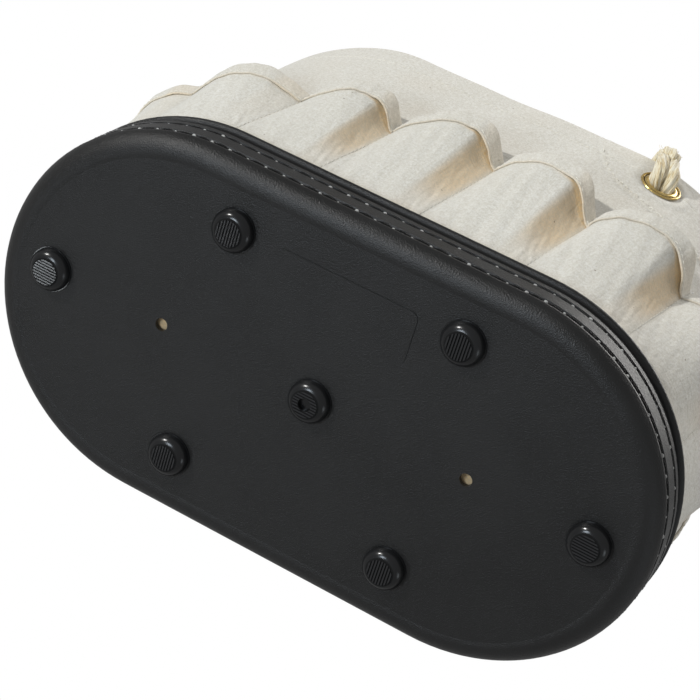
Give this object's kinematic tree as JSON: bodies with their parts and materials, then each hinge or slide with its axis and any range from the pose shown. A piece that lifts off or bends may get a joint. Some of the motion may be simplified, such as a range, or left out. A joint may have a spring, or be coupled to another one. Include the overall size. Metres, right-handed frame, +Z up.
{
  "type": "oval canvas tool bucket",
  "caption": "Oval canvas tool bucket with bulging outside pockets, a stitched moulded pan on domed feet, brass grommets and a swinging rope handle.",
  "frame": {"origin": "on the plane the feet stand on, under the middle of the bucket", "axes": "+X along the long side, -Y is the front with the grommet near its right end, +Z up to the open mouth"},
  "size_m": [0.4558, 0.2792, 0.2743],
  "materials": {
    "pan_plastic": "black moulded plastic with a fine pebble grain, low sheen",
    "foot_plastic": "smooth black plastic, a little glossier than the pan",
    "pan_thread": "heavy black bonded thread",
    "canvas": "natural unbleached cotton duck, plain weave with slubs",
    "canvas_thread": "white and tan sewing thread",
    "brass": "polished rolled brass",
    "rope": "three-strand laid rope, cream with golden fibres"
  },
  "bodies": {
    "root": {"base_pan": "pan_plastic", "canvas_wall_front": "canvas", "canvas_wall_back": "canvas", "canvas_floor": "canvas", "pan_stitches_lower": "pan_thread", "pan_stitches_upper": "pan_thread", "pocket_bar_tacks": "canvas_thread", "foot_left": "foot_plastic", "foot_right": "foot_plastic", "foot_centre": "foot_plastic", "foot_front_left": "foot_plastic", "foot_front_right": "foot_plastic", "foot_back_left": "foot_plastic", "foot_back_right": "foot_plastic", "outer_pocket_01": "canvas", "outer_pocket_02": "canvas", "outer_pocket_03": "canvas", "outer_pocket_04": "canvas", "outer_pocket_05": "canvas", "outer_pocket_06": "canvas", "outer_pocket_07": "canvas", "outer_pocket_08": "canvas", "outer_pocket_09": "canvas", "outer_pocket_10": "canvas", "outer_pocket_11": "canvas", "outer_pocket_12": "canvas", "outer_pocket_13": "canvas", "outer_pocket_14": "canvas", "outer_pocket_15": "canvas", "outer_pocket_16": "canvas", "grommet_front": "brass", "grommet_washer_front": "brass", "rope_eye_front": "rope", "grommet_back": "brass", "grommet_washer_back": "brass", "rope_eye_back": "rope"},
    "handle": {"rope_handle": "rope", "rope_splice_front": "rope", "rope_splice_back": "rope"}
  },
  "joints": [
    {"name": "handle_swing", "type": "hinge", "parent": "root", "child": "handle", "pos_m": [0.08882, -0.10301, 0.26305], "axis": [0.653, -0.7574, 0], "range_deg": [0, 180]}
  ]
}
